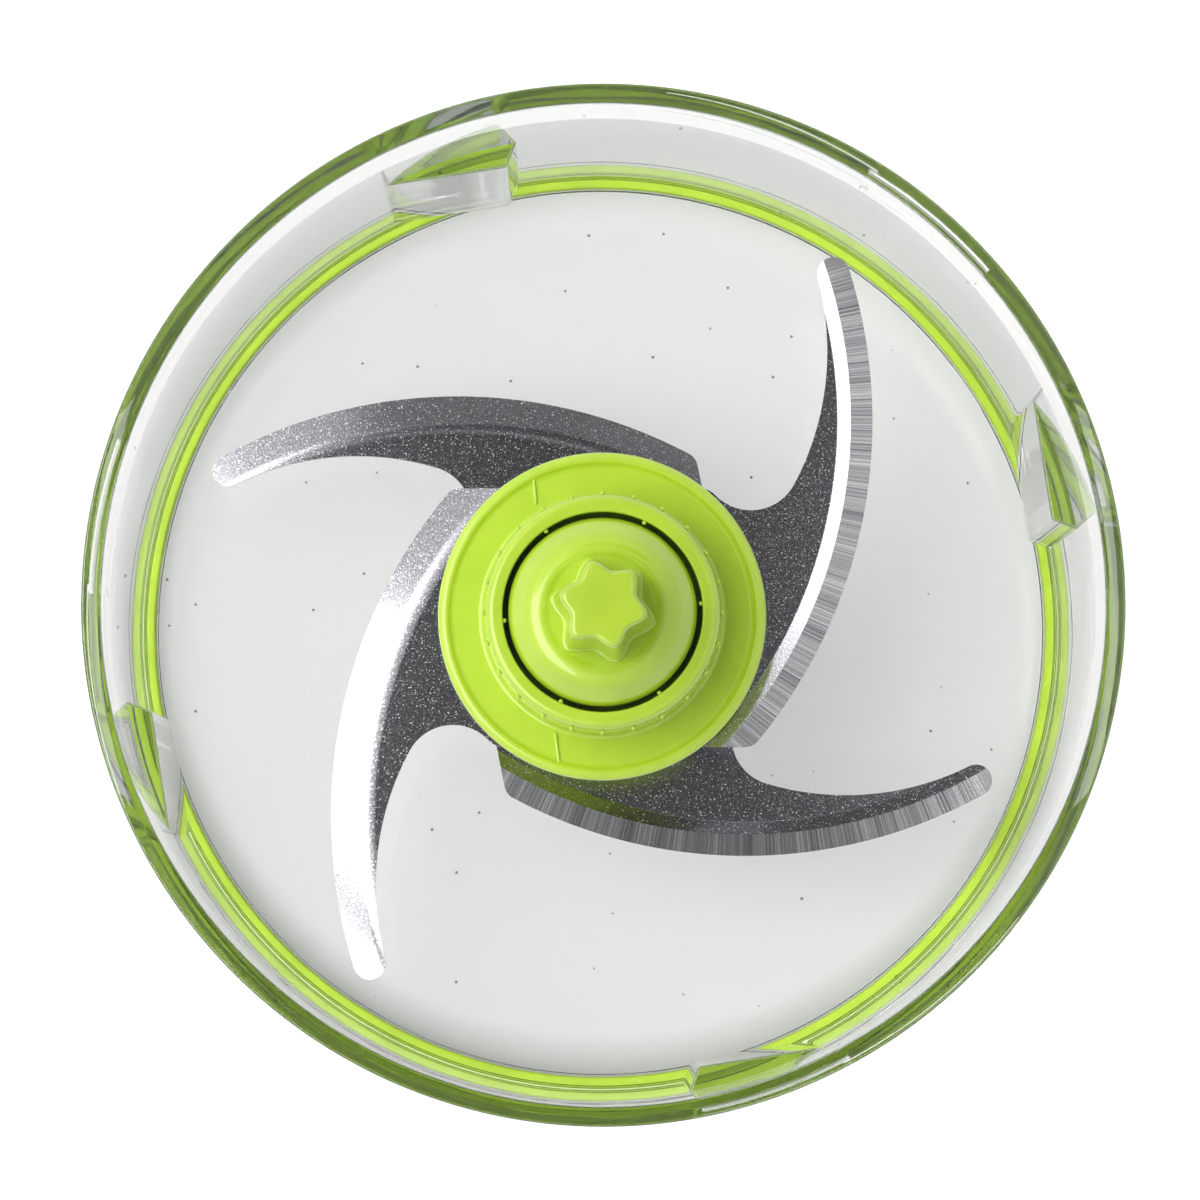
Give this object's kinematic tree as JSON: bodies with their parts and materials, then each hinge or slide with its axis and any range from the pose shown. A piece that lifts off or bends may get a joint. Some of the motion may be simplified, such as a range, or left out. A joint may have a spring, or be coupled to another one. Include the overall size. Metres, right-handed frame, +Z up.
{
  "type": "food chopper",
  "caption": "Clear chopper bowl on a green foot ring, with S-shaped steel blades stacked on a flanged hub that turns on a spindle and is driven by a star-shaped head.",
  "frame": {"origin": "centre of the foot ring's underside, on the spindle's axis", "axes": "+Z up along the spindle to the bowl's mouth; the upper blade's roots lie along X and its first tip points to +X+Y"},
  "size_m": [0.13, 0.13, 0.082],
  "materials": {
    "clear_plastic": "clear, moulded and polished",
    "green_rubber": "lime green, smooth and matt",
    "green_plastic": "lime green, moulded, soft gloss",
    "bush_plastic": "natural white, moulded",
    "pin_steel": "ground and polished",
    "blade_steel": "stamped and brushed, edge ground across"
  },
  "bodies": {
    "bowl_frame": {"bowl": "clear_plastic", "base_ring": "green_rubber", "spindle_pin": "pin_steel"},
    "drive_unit": {"drive_shaft": "green_plastic", "upper_bush": "bush_plastic", "lower_bush": "bush_plastic", "thrust_pad": "pin_steel"},
    "blade_carrier": {"hub": "green_plastic", "upper_blade": "blade_steel", "spacer_sleeve": "green_plastic", "lower_blade": "blade_steel", "bottom_collar": "green_plastic"}
  },
  "joints": [
    {"name": "blade_spin", "type": "hinge", "parent": "bowl_frame", "child": "drive_unit", "pos_m": [0, 0, 0], "axis": [0, 0, 1], "continuous": true},
    {"name": "hub_twist", "type": "hinge", "parent": "drive_unit", "child": "blade_carrier", "pos_m": [0, 0, 0], "axis": [0, 0, 1], "range_deg": [-40, 0]}
  ]
}
